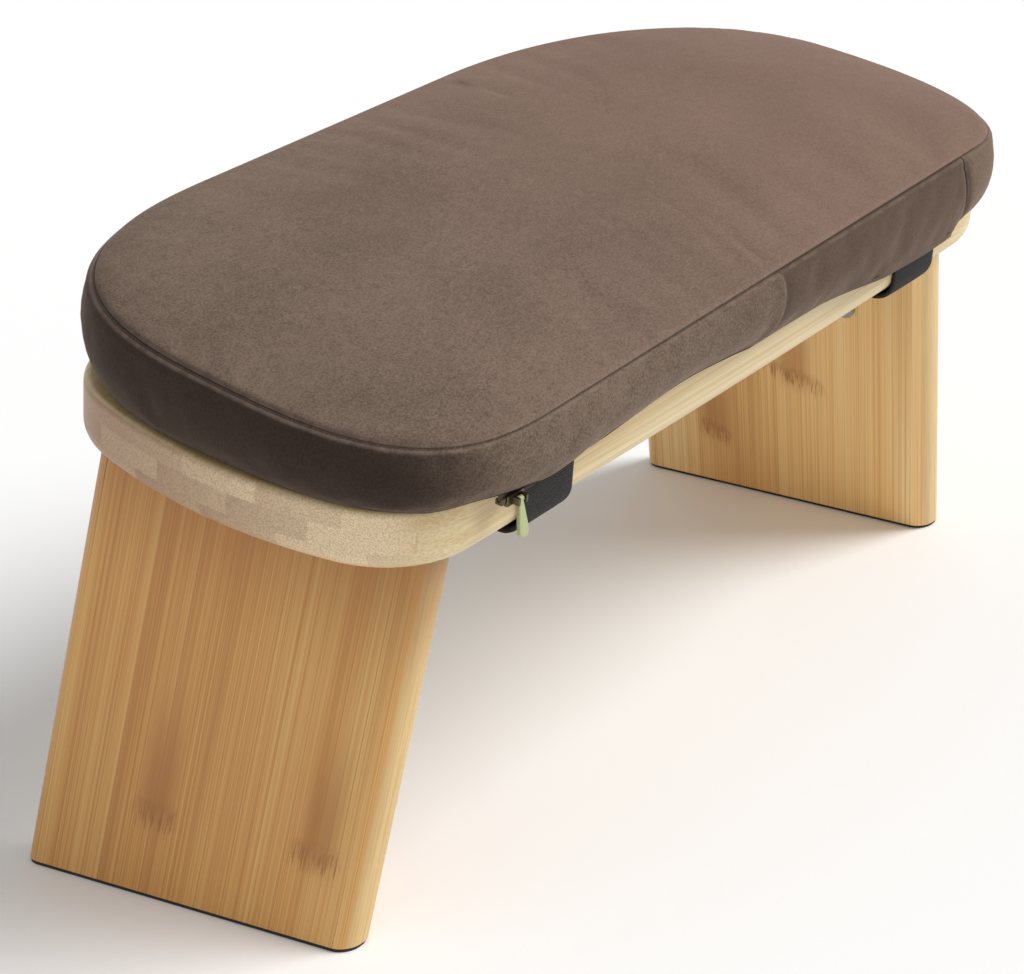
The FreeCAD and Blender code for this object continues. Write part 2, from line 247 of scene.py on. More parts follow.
def cane_stain(tree, x, y, along, across):
    """The brown flame that runs up the grain from a joint."""
    above = math_node(tree, "SUBTRACT", x, along)
    rise = smooth_step(tree, above, -14.0, 4.0)
    fade = math_node(tree, "MULTIPLY", rise, smooth_fall(tree, above, 12.0, 62.0))
    return math_node(tree, "MULTIPLY", fade, smooth_fall(tree, distance_aside(tree, y, across), 3.0, 13.0))


def joint_marks(tree, spot, fine, colour, joints_at):
    """The colour with the joints and their stains; each joint has its place and half its width."""
    x, y, _ = add_node(tree, "ShaderNodeSeparateXYZ", {0: spot}).outputs
    jag = stretched_noise(tree, spot, (9, 0.8, 0.8), 2.0)
    for along, across, half_width in joints_at:
        mark = cane_joint(tree, x, y, jag, along, across, half_width)
        hatch = math_node(tree, "MULTIPLY_ADD", smooth_step(tree, jag, 0.42, 0.60), 0.55, 0.1)
        colour = blend_colours(tree, math_node(tree, "MULTIPLY", mark, hatch), colour, paint("#8C5626"))
        streaks = math_node(tree, "MULTIPLY_ADD", fine, 0.9, 0.1)
        stain = math_node(tree, "MULTIPLY", cane_stain(tree, x, y, along, across), streaks)
        colour = blend_colours(tree, stain, colour, paint("#A5652B"))
    return colour


print("joint marks are", JOINT_RAG, "mm ragged")

# %% [markdown]
# Making the pattern in three dimensions lets one material show long lines on the
# faces, and dots and small blocks on the sawn ends. Each strip of each layer draws
# one random number, which sets its tone on the face and on the end alike.

# %% Laminated bamboo
LAYER_SHIFT = 0.37


def cane_streaks(tree, spot, fine, random, tones):
    """Long streaks from dark to light, with thin dark fibre lines."""
    broad = stretched_noise(tree, spot, (340, 10.0, 10.0), 1.0)
    tone = math_node(tree, "MULTIPLY_ADD", fine, 1.0, -0.5)
    tone = math_node(tree, "ADD", tone, math_node(tree, "MULTIPLY_ADD", broad, 0.6, -0.3))
    tone = math_node(tree, "ADD", tone, math_node(tree, "MULTIPLY_ADD", random, 0.26, 0.37))
    ramp = add_node(tree, "ShaderNodeValToRGB", {0: tone})
    dark, light = ramp.color_ramp.elements
    dark.position, dark.color = 0.12, paint(tones[0])
    light.position, light.color = 0.88, paint(tones[2])
    ramp.color_ramp.elements.new(0.5).color = paint(tones[1])
    line = smooth_step(tree, stretched_noise(tree, spot, (400, 0.9, 0.9), 1.0), 0.58, 0.68)
    return blend_colours(tree, math_node(tree, "MULTIPLY", line, 0.5), ramp.outputs[0], paint(tones[0]))


def sawn_end(tree, spot, y, random, edge_tones):
    """Small blocks of cane seen end on, with painted shade that browns them towards the back, and fine dark
    dots.
    """
    dots = smooth_step(tree, stretched_noise(tree, spot, (30, 0.6, 0.6), 2.0), 0.42, 0.62)
    # Painted shade: the sawn end darkens towards the back
    painted_back_shade = math_node(tree, "MULTIPLY_ADD", smooth_step(tree, y, -80.0, 60.0), 0.85, -0.22)
    blocks_and_back_shade = math_node(tree, "MAXIMUM", math_node(tree, "MULTIPLY_ADD", random, 0.5, painted_back_shade), 0.0)
    blocks = blend_colours(tree, blocks_and_back_shade, paint(edge_tones[0]), paint(edge_tones[1]))
    return blend_colours(tree, math_node(tree, "MULTIPLY", dots, 0.35), blocks, paint(edge_tones[2]))


def bamboo(name, matrix, strip, layer, tones, edge_tones, edge_axis, edge_from, seed,
           joints_at=(), seat_shade_share=0.0):
    """Satin lacquered bamboo; the grain runs along local x."""
    material, tree = new_material(name)
    spot = local_place(tree, matrix)
    x, y, z = add_node(tree, "ShaderNodeSeparateXYZ", {0: spot}).outputs
    sheet = math_node(tree, "FLOOR", math_node(tree, "DIVIDE", z, layer))
    across = math_node(tree, "MULTIPLY_ADD", sheet, LAYER_SHIFT, math_node(tree, "DIVIDE", y, strip))
    cell = add_node(tree, "ShaderNodeCombineXYZ", {0: math_node(tree, "FLOOR", across), 1: sheet, 2: seed})
    noise_of_cell = add_node(tree, "ShaderNodeTexWhiteNoise", {"Vector": cell.outputs[0]},
                             noise_dimensions="3D")
    random = noise_of_cell.outputs["Value"]
    fine = stretched_noise(tree, spot, (220, 0.7, 0.7), 3.0)
    colour = cane_streaks(tree, spot, fine, random, tones)
    colour = joint_marks(tree, spot, fine, colour, joints_at)
    # The thin glue line between neighbouring strips
    beside = math_node(tree, "PINGPONG", across, 0.5)
    glue = math_node(tree, "MULTIPLY", smooth_fall(tree, beside, 0.1 / strip, 0.4 / strip), 0.3)
    colour = blend_colours(tree, glue, colour, paint("#9A6B3A"))
    facing = smooth_step(tree, local_facing(tree, tuple(edge_axis)), edge_from, edge_from + 0.35)
    end = sawn_end(tree, spot, y, random, edge_tones)
    colour = blend_colours(tree, math_node(tree, "MULTIPLY", facing, 0.9), colour, end)
    # Painted shade: the board's upper face is a little darker than its sides
    above = smooth_step(tree, local_facing(tree, tuple(NORMAL)), 0.75, 0.98)
    colour = blend_colours(tree, math_node(tree, "MULTIPLY", above, 0.25), colour, paint(tones[0]))
    # Painted shade: the leg is browner towards its top, where the seat shades it
    shade_under_seat = math_node(tree, "MULTIPLY", smooth_step(tree, x, -75.0, 5.0), seat_shade_share)
    colour = blend_colours(tree, shade_under_seat, colour, paint("#8A5426"))
    rough = math_node(tree, "MULTIPLY_ADD", fine, 0.18, 0.38)
    bump = add_node(tree, "ShaderNodeBump", {"Height": fine, "Strength": 0.3, "Distance": 0.00006})
    shader = add_node(tree, "ShaderNodeBsdfPrincipled", {
        "Base Color": colour, "Roughness": rough, "IOR": 1.5, "Normal": bump.outputs[0],
        "Coat Weight": 0.12, "Coat Roughness": 0.35})
    finish_material(tree, shader)
    return material


# Tones run from dark to light; the edge tones are the two of the blocks, the second also painted shade
# towards the back, then the dots
# Pale seat board of three layers, with pinkish brown blocks on its ends
seat_bamboo = bamboo(
    "bamboo_seat_satin_lacquer", SEAT, strip=34.0, layer=8.9, tones=("#C39F66", "#D4BF93", "#E2D3AC"),
    edge_tones=("#F2D9B2", "#824F33", "#6E4327"), edge_axis=ALONG, edge_from=0.45, seed=3.0)
# Honey-coloured near leg, one layer thick, with two joints near its foot and painted shade below the seat
near_bamboo = bamboo(
    "bamboo_near_leg_satin_lacquer", leg_frame(-1), strip=21.0, layer=40.0,
    tones=("#B47532", "#D49A50", "#E8BC74"), edge_tones=("#DCC08A", "#C9A468", "#B08A55"),
    edge_axis=ACROSS, edge_from=0.5, seed=11.0,
    joints_at=((-152.0, 20.0, 11.0), (-136.0, -58.0, 12.0)), seat_shade_share=0.6)
# Lighter far leg, with a broad joint midway and a small one near its foot
far_bamboo = bamboo(
    "bamboo_far_leg_satin_lacquer", leg_frame(1), strip=23.0, layer=40.0,
    tones=("#D09C5C", "#EEC07C", "#F7DAA0"), edge_tones=("#DFC598", "#D5B782", "#BC965F"),
    edge_axis=ACROSS, edge_from=0.5, seed=29.0,
    joints_at=((-100.0, 10.0, 17.0), (-153.0, -36.0, 9.0)))
print("bamboo", [board.name for board in (seat_bamboo, near_bamboo, far_bamboo)])

# %% [markdown]
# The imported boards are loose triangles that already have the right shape. A copy
# with its corners merged can be shaded smoothly over the rounded edges and keeps
# its crisp ends, so the copies stand in for the boards.

# %% Boards


def finished_copy(node, body, material, crease=35):
    """A merged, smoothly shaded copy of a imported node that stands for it."""
    name = node + "_finished"
    bm = bmesh.new()
    bm.from_mesh(frame["nodes"][node].data)
    bmesh.ops.remove_doubles(bm, verts=bm.verts, dist=0.000002)
    mesh = bpy.data.meshes.new(name)
    bm.to_mesh(mesh)
    bm.free()
    mesh.shade_smooth()
    mesh.set_sharp_from_angle(angle=math.radians(crease))
    mesh.materials.clear()
    mesh.materials.append(material)
    piece = bpy.data.objects.new(name, mesh)
    bpy.context.scene.collection.objects.link(piece)
    even = piece.modifiers.new("even_shading", "WEIGHTED_NORMAL")
    even.mode = "FACE_AREA"
    even.keep_sharp = True
    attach(piece, body)
    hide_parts(node)
    print(name, len(mesh.polygons), "faces")


finished_copy("seat_board", "seat", seat_bamboo)
finished_copy("left_leg_board", "left_leg", near_bamboo)
finished_copy("right_leg_board", "right_leg", far_bamboo)

# %% [markdown]
# Zinc-plated steel is a soft grey metal with faint cloudy spangles. The soles are
# matt black rubber sheet. The slider is plated dark bronze, and its pull is enamelled
# pale green.

# %% Metal, rubber and enamel


def plated_metal(name, dark, light, roughness):
    """Metal with a thin cloudy plating."""
    material, tree = new_material(name)
    spot = local_place(tree, SEAT)
    cloud = add_node(tree, "ShaderNodeTexNoise", {"Vector": spot, "Scale": 0.35, "Detail": 5.0})
    colour = blend_colours(tree, cloud.outputs[0], paint(dark), paint(light))
    rough = math_node(tree, "MULTIPLY_ADD", cloud.outputs[0], 0.2, roughness - 0.1)
    bump = add_node(tree, "ShaderNodeBump", {
        "Height": cloud.outputs[0], "Strength": 0.15, "Distance": 0.00005})
    shader = add_node(tree, "ShaderNodeBsdfPrincipled", {
        "Base Color": colour, "Metallic": 1.0, "Roughness": rough, "Normal": bump.outputs[0]})
    finish_material(tree, shader)
    return material


def rubber_sheet():
    """Matt anti-slip rubber with a fine grain."""
    material, tree = new_material("rubber_anti_slip_sheet")
    spot = local_place(tree, SEAT)
    grain = add_node(tree, "ShaderNodeTexNoise", {"Vector": spot, "Scale": 1.6, "Detail": 3.0})
    colour = blend_colours(tree, grain.outputs[0], paint("#1C1817"), paint("#352E2C"))
    bump = add_node(tree, "ShaderNodeBump", {
        "Height": grain.outputs[0], "Strength": 0.5, "Distance": 0.0001})
    shader = add_node(tree, "ShaderNodeBsdfPrincipled", {
        "Base Color": colour, "Roughness": 0.85, "Normal": bump.outputs[0]})
    finish_material(tree, shader)
    return material


def green_enamel():
    """Baked enamel on a small casting, a little worn and orange-peeled."""
    material, tree = new_material("enamel_pale_green")
    spot = local_place(tree, SEAT)
    peel = add_node(tree, "ShaderNodeTexNoise", {"Vector": spot, "Scale": 0.9, "Detail": 2.0})
    colour = blend_colours(tree, peel.outputs[0], paint("#98A06C"), paint("#AEB582"))
    bump = add_node(tree, "ShaderNodeBump", {
        "Height": peel.outputs[0], "Strength": 0.2, "Distance": 0.00008})
    shader = add_node(tree, "ShaderNodeBsdfPrincipled", {
        "Base Color": colour, "Roughness": 0.35, "Coat Weight": 0.3, "Coat Roughness": 0.2,
        "Normal": bump.outputs[0]})
    finish_material(tree, shader)
    return material


# Zinc-plated sheet steel of the hinge leaves and pins, a soft grey
leaf_steel = plated_metal("steel_zinc_plated_leaf", "#8F9092", "#B9BABC", 0.42)
# The same plating on the screws, a little shinier
screw_steel = plated_metal("steel_zinc_plated_screw", "#8F9092", "#B9BABC", 0.3)
# Die-cast zinc slider, plated dark bronze
slider_bronze = plated_metal("zinc_bronze_plated_slider", "#4E4638", "#776B55", 0.4)
# Soles of the legs
rubber = rubber_sheet()
# Zipper pull
enamel = green_enamel()


def dress(node, material):
    """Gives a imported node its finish."""
    node.data.materials.clear()
    node.data.materials.append(material)


for side in ("left", "right"):
    for part in ("hinge_seat_leaf", "hinge_leg_leaf", "hinge_pin"):
        dress(frame["nodes"][f"{side}_{part}"], leaf_steel)
    for part in ("hinge_seat_screws", "hinge_leg_screws"):
        dress(frame["nodes"][f"{side}_{part}"], screw_steel)
    dress(frame["nodes"][f"{side}_foot_pad"], rubber)
dress(frame["nodes"]["zipper_slider"], slider_bronze)
dress(frame["nodes"]["zipper_pull"], enamel)
hard_finishes = (leaf_steel, screw_steel, slider_bronze, rubber, enamel)
print("metals, rubber and enamel", [finish.name for finish in hard_finishes])

# %% [markdown]
# The cushion's cloth is short-pile velvet. Faces that look towards the near end carry painted shade,
# the crease of each seam painted shade, and the folds beside the seams a painted pale
# sheen. Brushed patches and a fine speckle break up the flat colour.

# %% Velvet


def velvet(name, dark, light, far_tint):
    """Short-pile polyester velvet with brushed patches and a fine pile."""
    material, tree = new_material(name)
    spot = local_place(tree, SEAT)
    patch = stretched_noise(tree, spot, (90, 70, 70), 2.0)
    mottle = stretched_noise(tree, spot, (5, 5, 5), 3.0)
    pile = stretched_noise(tree, spot, (0.9, 0.9, 0.9), 2.0)
    tone = math_node(tree, "MULTIPLY_ADD", patch, 0.8, 0.1)
    tone = math_node(tree, "ADD", tone, math_node(tree, "MULTIPLY_ADD", mottle, 0.5, -0.25))
    tone = math_node(tree, "ADD", tone, math_node(tree, "MULTIPLY_ADD", pile, 1.8, -0.9))
    colour = blend_colours(tree, smooth_step(tree, tone, 0.0, 1.0), paint(dark), paint(light))
    # The far end is a little pinker
    x = add_node(tree, "ShaderNodeSeparateXYZ", {0: spot}).outputs[0]
    far = math_node(tree, "MULTIPLY", smooth_step(tree, x, -160.0, 140.0), 0.5)
    colour = blend_colours(tree, far, colour, paint(far_tint))
    # Painted shade: surfaces that look towards the near end are much darker
    coords = add_node(tree, "ShaderNodeTexCoord")
    toward = add_node(tree, "ShaderNodeVectorMath", {0: coords.outputs["Normal"], 1: tuple(-ALONG)},
                      operation="DOT_PRODUCT")
    near_end_shade = smooth_step(tree, toward.outputs["Value"], 0.05, 0.85)
    colour = blend_colours(tree, math_node(tree, "MULTIPLY", near_end_shade, 0.85), colour, paint("#2E2420"))
    # Painted shade darkens the crease of a seam, and a painted pale sheen lies on the folds beside it
    seam = add_node(tree, "ShaderNodeAttribute", attribute_name="seam_mm").outputs["Fac"]
    fold = math_node(tree, "MULTIPLY", smooth_step(tree, seam, 0.4, 0.8), smooth_fall(tree, seam, 1.1, 1.9))
    fold_sheen = math_node(tree, "MULTIPLY_ADD", smooth_step(tree, mottle, 0.35, 0.65), 0.22, 0.08)
    fold_sheen = math_node(tree, "MULTIPLY_ADD", near_end_shade, 0.12, fold_sheen)
    colour = blend_colours(tree, math_node(tree, "MULTIPLY", fold, fold_sheen), colour, paint("#85736A"))
    crease = math_node(tree, "MULTIPLY", smooth_fall(tree, seam, 0.1, 0.7), 0.55)
    colour = blend_colours(tree, crease, colour, paint("#1E1714"))
    height = math_node(tree, "MULTIPLY_ADD", mottle, 0.6, pile)
    bump = add_node(tree, "ShaderNodeBump", {"Height": height, "Strength": 0.5, "Distance": 0.0002})
    shader = add_node(tree, "ShaderNodeBsdfPrincipled", {
        "Base Color": colour, "Roughness": 0.95, "Specular IOR Level": 0.12, "Normal": bump.outputs[0],
        "Sheen Weight": 0.35, "Sheen Roughness": 0.4, "Sheen Tint": paint("#C9B4A6")})
    finish_material(tree, shader)
    return material


# Brown velvet of the top; its faces toward the near end carry painted shade
top_velvet = velvet("velvet_brown_top", "#5E4E43", "#7E6B5E", "#866A5E")
# The same cloth on the long band, a little darker as painted shade on its side
shaded_band_velvet = velvet("velvet_brown_band_shaded", "#504338", "#756456", "#6E5C4F")
# The short band's cloth, darker again
lap_velvet = velvet("velvet_brown_lap", "#42362D", "#5B4B40", "#5A4A3E")
print("velvets", [cloth.name for cloth in (top_velvet, shaded_band_velvet, lap_velvet)])

# %% [markdown]
# The other cloths have one colour each and a small grain: the base's grip fabric,
# the elastic, the zipper's tape and coil, and the open cells of the foam.

# %% Plain cloths and foam


def plain_cloth(name, dark, light, grain, roughness):
    """Woven or knitted cloth of one colour with a small grain."""
    material, tree = new_material(name)
    spot = local_place(tree, SEAT)
    weave = stretched_noise(tree, spot, (grain, grain, grain), 2.0)
    colour = blend_colours(tree, smooth_step(tree, weave, 0.3, 0.7), paint(dark), paint(light))
    bump = add_node(tree, "ShaderNodeBump", {"Height": weave, "Strength": 0.6, "Distance": 0.0002})
    shader = add_node(tree, "ShaderNodeBsdfPrincipled", {
        "Base Color": colour, "Roughness": roughness, "Specular IOR Level": 0.25,
        "Normal": bump.outputs[0]})
    finish_material(tree, shader)
    return material


# Black fabric with a rubbery face, under the cushion; its black edge also stands in for the shadow line
# between the cushion and the board
grip_cloth_and_shadow = plain_cloth("cloth_black_anti_slip_and_shadow", "#141414", "#262626", 0.9, 0.8)
# Black ribbed elastic of the straps
elastic_cloth = plain_cloth("elastic_black_ribbed", "#0B0A0A", "#363230", 0.5, 0.65)
# Nylon of the zipper's tape and coil, coloured dark brown as painted shadow under the cushion's front edge
zipper_cloth_and_shadow = plain_cloth("zipper_brown_nylon", "#4A3D34", "#6A594C", 0.5, 0.5)
# Cream foam inside the cushion
foam_cells = plain_cloth("foam_cream_open_cell", "#D8D2BC", "#EFEBDC", 0.8, 0.9)
print("cloths", [cloth.name for cloth in (grip_cloth_and_shadow, elastic_cloth, zipper_cloth_and_shadow, foam_cells)])

# %% [markdown]
# The cushion's outline isn't an oval: it is straight along the front, with four
# different corners. Each quarter is a superellipse with its own corner depth, and
# the points along it are spaced evenly, with extra ones beside the two seams of the
# side band.

# %% The cushion's outline
NEAR_END = 224.0
FAR_END = 204.5
FRONT = 101.5
BACK = 105.0
# Corner depth and roundness of each quarter, by end and side
CORNERS = {(-1, -1): (79.7, 2.92), (-1, 1): (122.0, 2.64), (1, -1): (48.0, 2.36), (1, 1): (156.0, 2.16)}
LAP_X = 1.0
END_SEAM_X = 152.0
COLUMN_SPACING = 3.4
SEAM_COLUMNS = (-5.0, -2.6, -1.3, -0.6, 0.0, 0.6, 1.3, 2.6, 5.0)


def outline_point(angle):
    """The cushion's outline at its seam, by an angle that runs round it."""
    c, s = math.cos(angle), math.sin(angle)
    end, side = (1 if c >= 0 else -1), (1 if s >= 0 else -1)
    depth, power = CORNERS[end, side]
    length = FAR_END if end > 0 else NEAR_END
    width = BACK if side > 0 else FRONT
    x = end * (length - depth + depth * abs(c) ** (2 / power))
    return x, side * width * abs(s) ** (2 / power)


def even_columns():
    """Outline points at even steps, closer beside the band's two seams, starting at the back."""
    angles = np.linspace(0.5 * math.pi, 2.5 * math.pi, 6001)
    points = np.array([outline_point(a) for a in angles])
    # Where two quarters meet on a long side x jumps, and the even steps fill that straight side in
    steps = np.linalg.norm(np.diff(points, axis=0), axis=1)
    run = np.concatenate([[0], np.cumsum(steps)])
    places = list(np.arange(0, run[-1], COLUMN_SPACING))
    front = points[:, 1] < -60
    for seam_x in (LAP_X, END_SEAM_X):
        near = run[front][np.argsort(points[front][:, 0])]
        at = float(np.interp(seam_x, np.sort(points[front][:, 0]), near))
        places = [p for p in places if abs(p - at) > SEAM_COLUMNS[-1] + 1] + [at + d for d in SEAM_COLUMNS]
    places = np.array(sorted(places))
    return np.column_stack([np.interp(places, run, points[:, i]) for i in (0, 1)])


COLUMNS = even_columns()
tangent = np.roll(COLUMNS, -1, axis=0) - np.roll(COLUMNS, 1, axis=0)
OUTWARD = np.column_stack([tangent[:, 1], -tangent[:, 0]])
OUTWARD /= np.linalg.norm(OUTWARD, axis=1)[:, None]
print("columns round the cushion", len(COLUMNS))

# %% [markdown]
# A function gives any point of the side band from its column round the outline and
# its share of the way up. The band swells midway, draws in at its foot and creases at
# its seams, and its front foot waves as the photograph shows.

# %% The side band's skin
BOARD_TOP = 26.5
SEAM_HEIGHT = 33.0
SIDE_BULGE = 3.4
FOOT_INSET = 4.0
FOOT_HANG = 1.0
CREASE = 1.3
FOLD = 0.35
LAP_BOW = 2.5
LAP_LEAN = 8.0
END_LEAN = 9.0


def seam_column(x):
    """The column of the front side that stands at a seam."""
    gap = np.where(COLUMNS[:, 1] < -60, np.abs(COLUMNS[:, 0] - x), 1e9)
    return int(np.argmin(gap))


def seam_level(x, y):
    """The top seam rises a little towards the back and the near end."""
    return BOARD_TOP + SEAM_HEIGHT + 0.3 * x / 200 + 1.9 * y / 90 - 3.0 * x * y / 18000


# How far the front lower edge lies above or below the board's top, by x
FOOT_X = (-200, -180, -162, -133, -103, -58, 0, 50, 119, 148, 158, 185)
FOOT_LIFT = (1.5, 3.0, -0.8, -1.5, 0.6, 4.3, -0.4, -0.8, -3.2, -2.0, 0.5, -2.0)
FOOT_BLUR = (-14, -7, 0, 7, 14)


def foot_lift(x, y):
    """The wave of the front lower edge, and none over the board."""
    share = min(max((-y - 88) / 9, 0), 1)
    lift = np.mean([np.interp(x + step, FOOT_X, FOOT_LIFT) for step in FOOT_BLUR])
    return float(lift) * share


def wrinkle(x, y, z):
    """Small soft unevenness of stuffed cloth, in millimetres."""
    broad = noise.noise(Vector((x, y, z)) / 45)
    small = noise.noise(Vector((x + 300, y, z)) / 14)
    return 0.9 * broad + 0.3 * small


def band_point(column, share, lap_lift=0.0):
    """A point on the side band; share is 0 at the foot and 1 at the top seam."""
    x, y = COLUMNS[column]
    nx, ny = OUTWARD[column]
    # Where the foot hangs lower it also stands further out, clear of the zipper's slider
    hang = min(max(-foot_lift(x, y) - 0.8, 0) / 1.2, 1)
    inset = FOOT_INSET - (FOOT_INSET + FOOT_HANG) * hang
    grow = 4 * SIDE_BULGE * share * (1 - share) - inset * (1 - share) ** 5
    from_seam = (1 - share) * SEAM_HEIGHT
    grow += FOLD * math.exp(-((from_seam - 2.6) / 1.4) ** 2) - CREASE * math.exp(-(from_seam / 0.9) ** 2)
    if y < -60:
        middle = min(1, 6 * share * (1 - share) + 0.3)
        grow += middle * lap_lift * math.exp(-((x - LAP_X) / 5) ** 2)
        grow -= middle * 1.4 * math.exp(-((x - END_SEAM_X) / 1.5) ** 2)
    lift = foot_lift(x, y) * (1 - share) ** 1.5
    level = BOARD_TOP + 0.15 + (seam_level(x, y) - BOARD_TOP) * share + lift
    grow += wrinkle(x, y, level) * 4 * share * (1 - share)
    # The lap's edge bows out and leans back at its foot; the end seam leans back at its top
    bow = LAP_BOW * math.sin(math.pi * share) - LAP_LEAN * (1 - share) ** 2
    bow *= math.exp(-((x - LAP_X) / 16) ** 2)
    bow -= END_LEAN * share * math.exp(-((x - END_SEAM_X) / 16) ** 2)
    if y > -60:
        bow = 0
    return x + nx * grow + bow, y + ny * grow, level


print("foot over the lap", round(foot_lift(LAP_X, -FRONT), 1), "mm")

# %% [markdown]
# The top closes in from the seam to one line along its middle. It rises steeply
# beside the seam and hardly at all further in, with a soft dent at the near corner.

# %% The top's skin
CROWN = 8.0
SHOULDER = 2.6
NEAR_DENT = 2.4
SPINE_STEP = 2.0


def toward_middle(column, share):
    """A place over the board: share is 1 at the outline and 0 on the middle line, where both sides meet."""
    x, y = COLUMNS[column]
    if share <= 0:
        return round(x * 0.4 / SPINE_STEP) * SPINE_STEP, 0.0
    return x * (0.4 + 0.6 * share), y * share


def top_point(column, share):
    """A point on the top panel; share is 1 at the seam and 0 along the middle."""
    x0, y0 = COLUMNS[column]
    nx, ny = OUTWARD[column]
    x, y = toward_middle(column, share)
    inset = (1 - share) * 100
    rise = SHOULDER * (1 - math.exp(-inset / 5.0)) + (CROWN - SHOULDER) * (1 - share ** 4)
    grow = -CREASE * math.exp(-(inset / 0.9) ** 2)
    rise += FOLD * math.exp(-((inset - 2.4) / 1.4) ** 2)
    # A soft dent runs just inside the seam round the near front corner
    to_corner = min(max((-x0 - 60) / 80, 0), 1) * min(max(-y0 / 60, 0), 1)
    dent = NEAR_DENT * math.exp(-((inset - 11) / 7) ** 2) * to_corner
    grow *= min(1, share * 20)
    level = seam_level(x, y) + rise - dent + wrinkle(x, y, 200) * min(1, inset / 25)
    return x + nx * grow, y + ny * grow, level


print("crown over the middle", round(top_point(0, 0)[2] - seam_level(0, 0), 1), "mm")

# %% [markdown]
# A grid wraps round the outline: its columns follow the outline and its rows climb
# the band or close in over the top. The first and last columns meet and are merged.

# %% A sheet made from a grid
CLOTH = 1.2


def sheet_from_grid(name, columns, rows, place, seam_distance=None):
    """A mesh whose grid points are moved to place(column, row), in the seat's frame."""
    bm = bmesh.new()
    from_seam = bm.verts.layers.float.new("seam_mm")
    bm.loops.layers.uv.new("cut")
    steps_round = len(columns) - 1
    steps_up = len(rows) - 1
    bmesh.ops.create_grid(bm, x_segments=steps_round, y_segments=steps_up, size=0.5, calc_uvs=True)
    for vert in bm.verts:
        i = round((vert.co.x + 0.5) * steps_round)
        j = round((vert.co.y + 0.5) * steps_up)
        vert.co = SEAT @ Vector(place(columns[i], rows[j]))
        vert[from_seam] = seam_distance(columns[i], rows[j]) if seam_distance else 99.0
    bmesh.ops.remove_doubles(bm, verts=bm.verts, dist=0.00001)
    bmesh.ops.recalc_face_normals(bm, faces=bm.faces)
    mesh = bpy.data.meshes.new(name)
    bm.to_mesh(mesh)
    bm.free()
    mesh.shade_smooth()
    piece = bpy.data.objects.new(name, mesh)
    bpy.context.scene.collection.objects.link(piece)
    return piece


def make_outward(piece, middle):
    """Turns an open sheet's faces away from a point, if they look at it."""
    mesh = piece.data
    votes = sum((face.center - middle).dot(face.normal) * face.area for face in mesh.polygons)
    if votes < 0:
        mesh.flip_normals()


def add_thickness(piece, thickness):
    """Cloth thickness inwards, as a closed shell."""
    solid = piece.modifiers.new("cloth", "SOLIDIFY")
    solid.thickness = thickness * MM
    solid.offset = -1


def finish_piece(piece, body, slot, material, *nodes):
    """Sets the finish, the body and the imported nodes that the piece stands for."""
    piece.data.materials.append(material)
    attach(piece, body)
    if nodes:
        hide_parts(*nodes)
    print(piece.name, len(piece.data.polygons), "faces")


# %% [markdown]
# Cloth simulation gives the cover its life: the rims of each panel are held where
# they are sewn, and light air pressure pushes slightly oversize cloth out between
# them. No point may move further than a few millimetres, so the seams still meet
# and the cushion stays in its space.

# %% Cloth simulation
HELD_EDGE = 2.8
LAST_STEP = 20


def puff(piece, pressure, spare, cap):
    """Lets air push the cloth out between its sewn edges, then keeps the result."""
    bm = bmesh.new()
    bm.from_mesh(piece.data)
    from_seam = bm.verts.layers.float["seam_mm"]
    held = [vert.index for vert in bm.verts if vert.is_boundary or vert[from_seam] < HELD_EDGE]
    bm.free()
    start = np.array([vert.co[:] for vert in piece.data.vertices])
    piece.vertex_groups.new(name="held").add(held, 1.0, "REPLACE")
    cloth = piece.modifiers.new("cloth", "CLOTH")
    settings = cloth.settings
    settings.quality = 6
    settings.mass = 0.15
    settings.tension_stiffness = 20
    settings.compression_stiffness = 20
    settings.shear_stiffness = 8
    settings.bending_stiffness = 0.4
    settings.vertex_group_mass = "held"
    settings.shrink_min = -spare
    settings.use_pressure = True
    settings.uniform_pressure_force = pressure
    settings.effector_weights.gravity = 0
    cloth.point_cache.frame_start = 1
    cloth.point_cache.frame_end = LAST_STEP
    for frame_number in range(1, LAST_STEP + 1):
        bpy.context.scene.frame_set(frame_number)
    moved = piece.evaluated_get(bpy.context.evaluated_depsgraph_get()).data
    step = np.array([vert.co[:] for vert in moved.vertices]) - start
    length = np.linalg.norm(step, axis=1)
    share = np.minimum(1, cap * MM / np.maximum(length, 1e-9))
    piece.modifiers.remove(cloth)
    piece.data.vertices.foreach_set("co", (start + step * share[:, None]).ravel())
    bpy.context.scene.frame_set(1)
    print(piece.name, "moved", round(float((length * share).max() / MM), 1), "mm at most, mean",
          round(float((length * share).mean() / MM), 2), "mm, capped", int((share < 1).sum()))


# %% [markdown]
# The cushion cover is four pieces: the top panel, a long band that goes nearly all
# the way round, a short band with a lapped seam in front, and the base. The top's
# rows end on one line along its middle, where the grid is merged shut.

# %% Cushion cover
ROUND = list(range(len(COLUMNS))) + [0]
LAP_OVER = 0.9
LAP_UNDER = 0.5
# Rows stand close together beside a seam and at the foot
BAND_ROWS = (0.0, 0.02, 0.05, 0.1, 0.16, 0.24, 0.34, 0.45, 0.56, 0.67, 0.77, 0.85, 0.91, 0.95,
             0.975, 0.99, 1.0)
TOP_ROWS = (1.0, 0.997, 0.992, 0.985, 0.975, 0.962, 0.945, 0.92, 0.89, 0.85, 0.8, 0.74, 0.67, 0.6,
            0.52, 0.44, 0.36, 0.28, 0.2, 0.12, 0.05, 0.0)
CUSHION_MIDDLE = SEAT @ Vector((0, 0, BOARD_TOP + SEAM_HEIGHT / 2))
lap, end_seam = seam_column(LAP_X), seam_column(END_SEAM_X)
short_columns = list(range(lap, end_seam + 1))
long_columns = list(range(end_seam, len(COLUMNS))) + list(range(0, lap + 1))


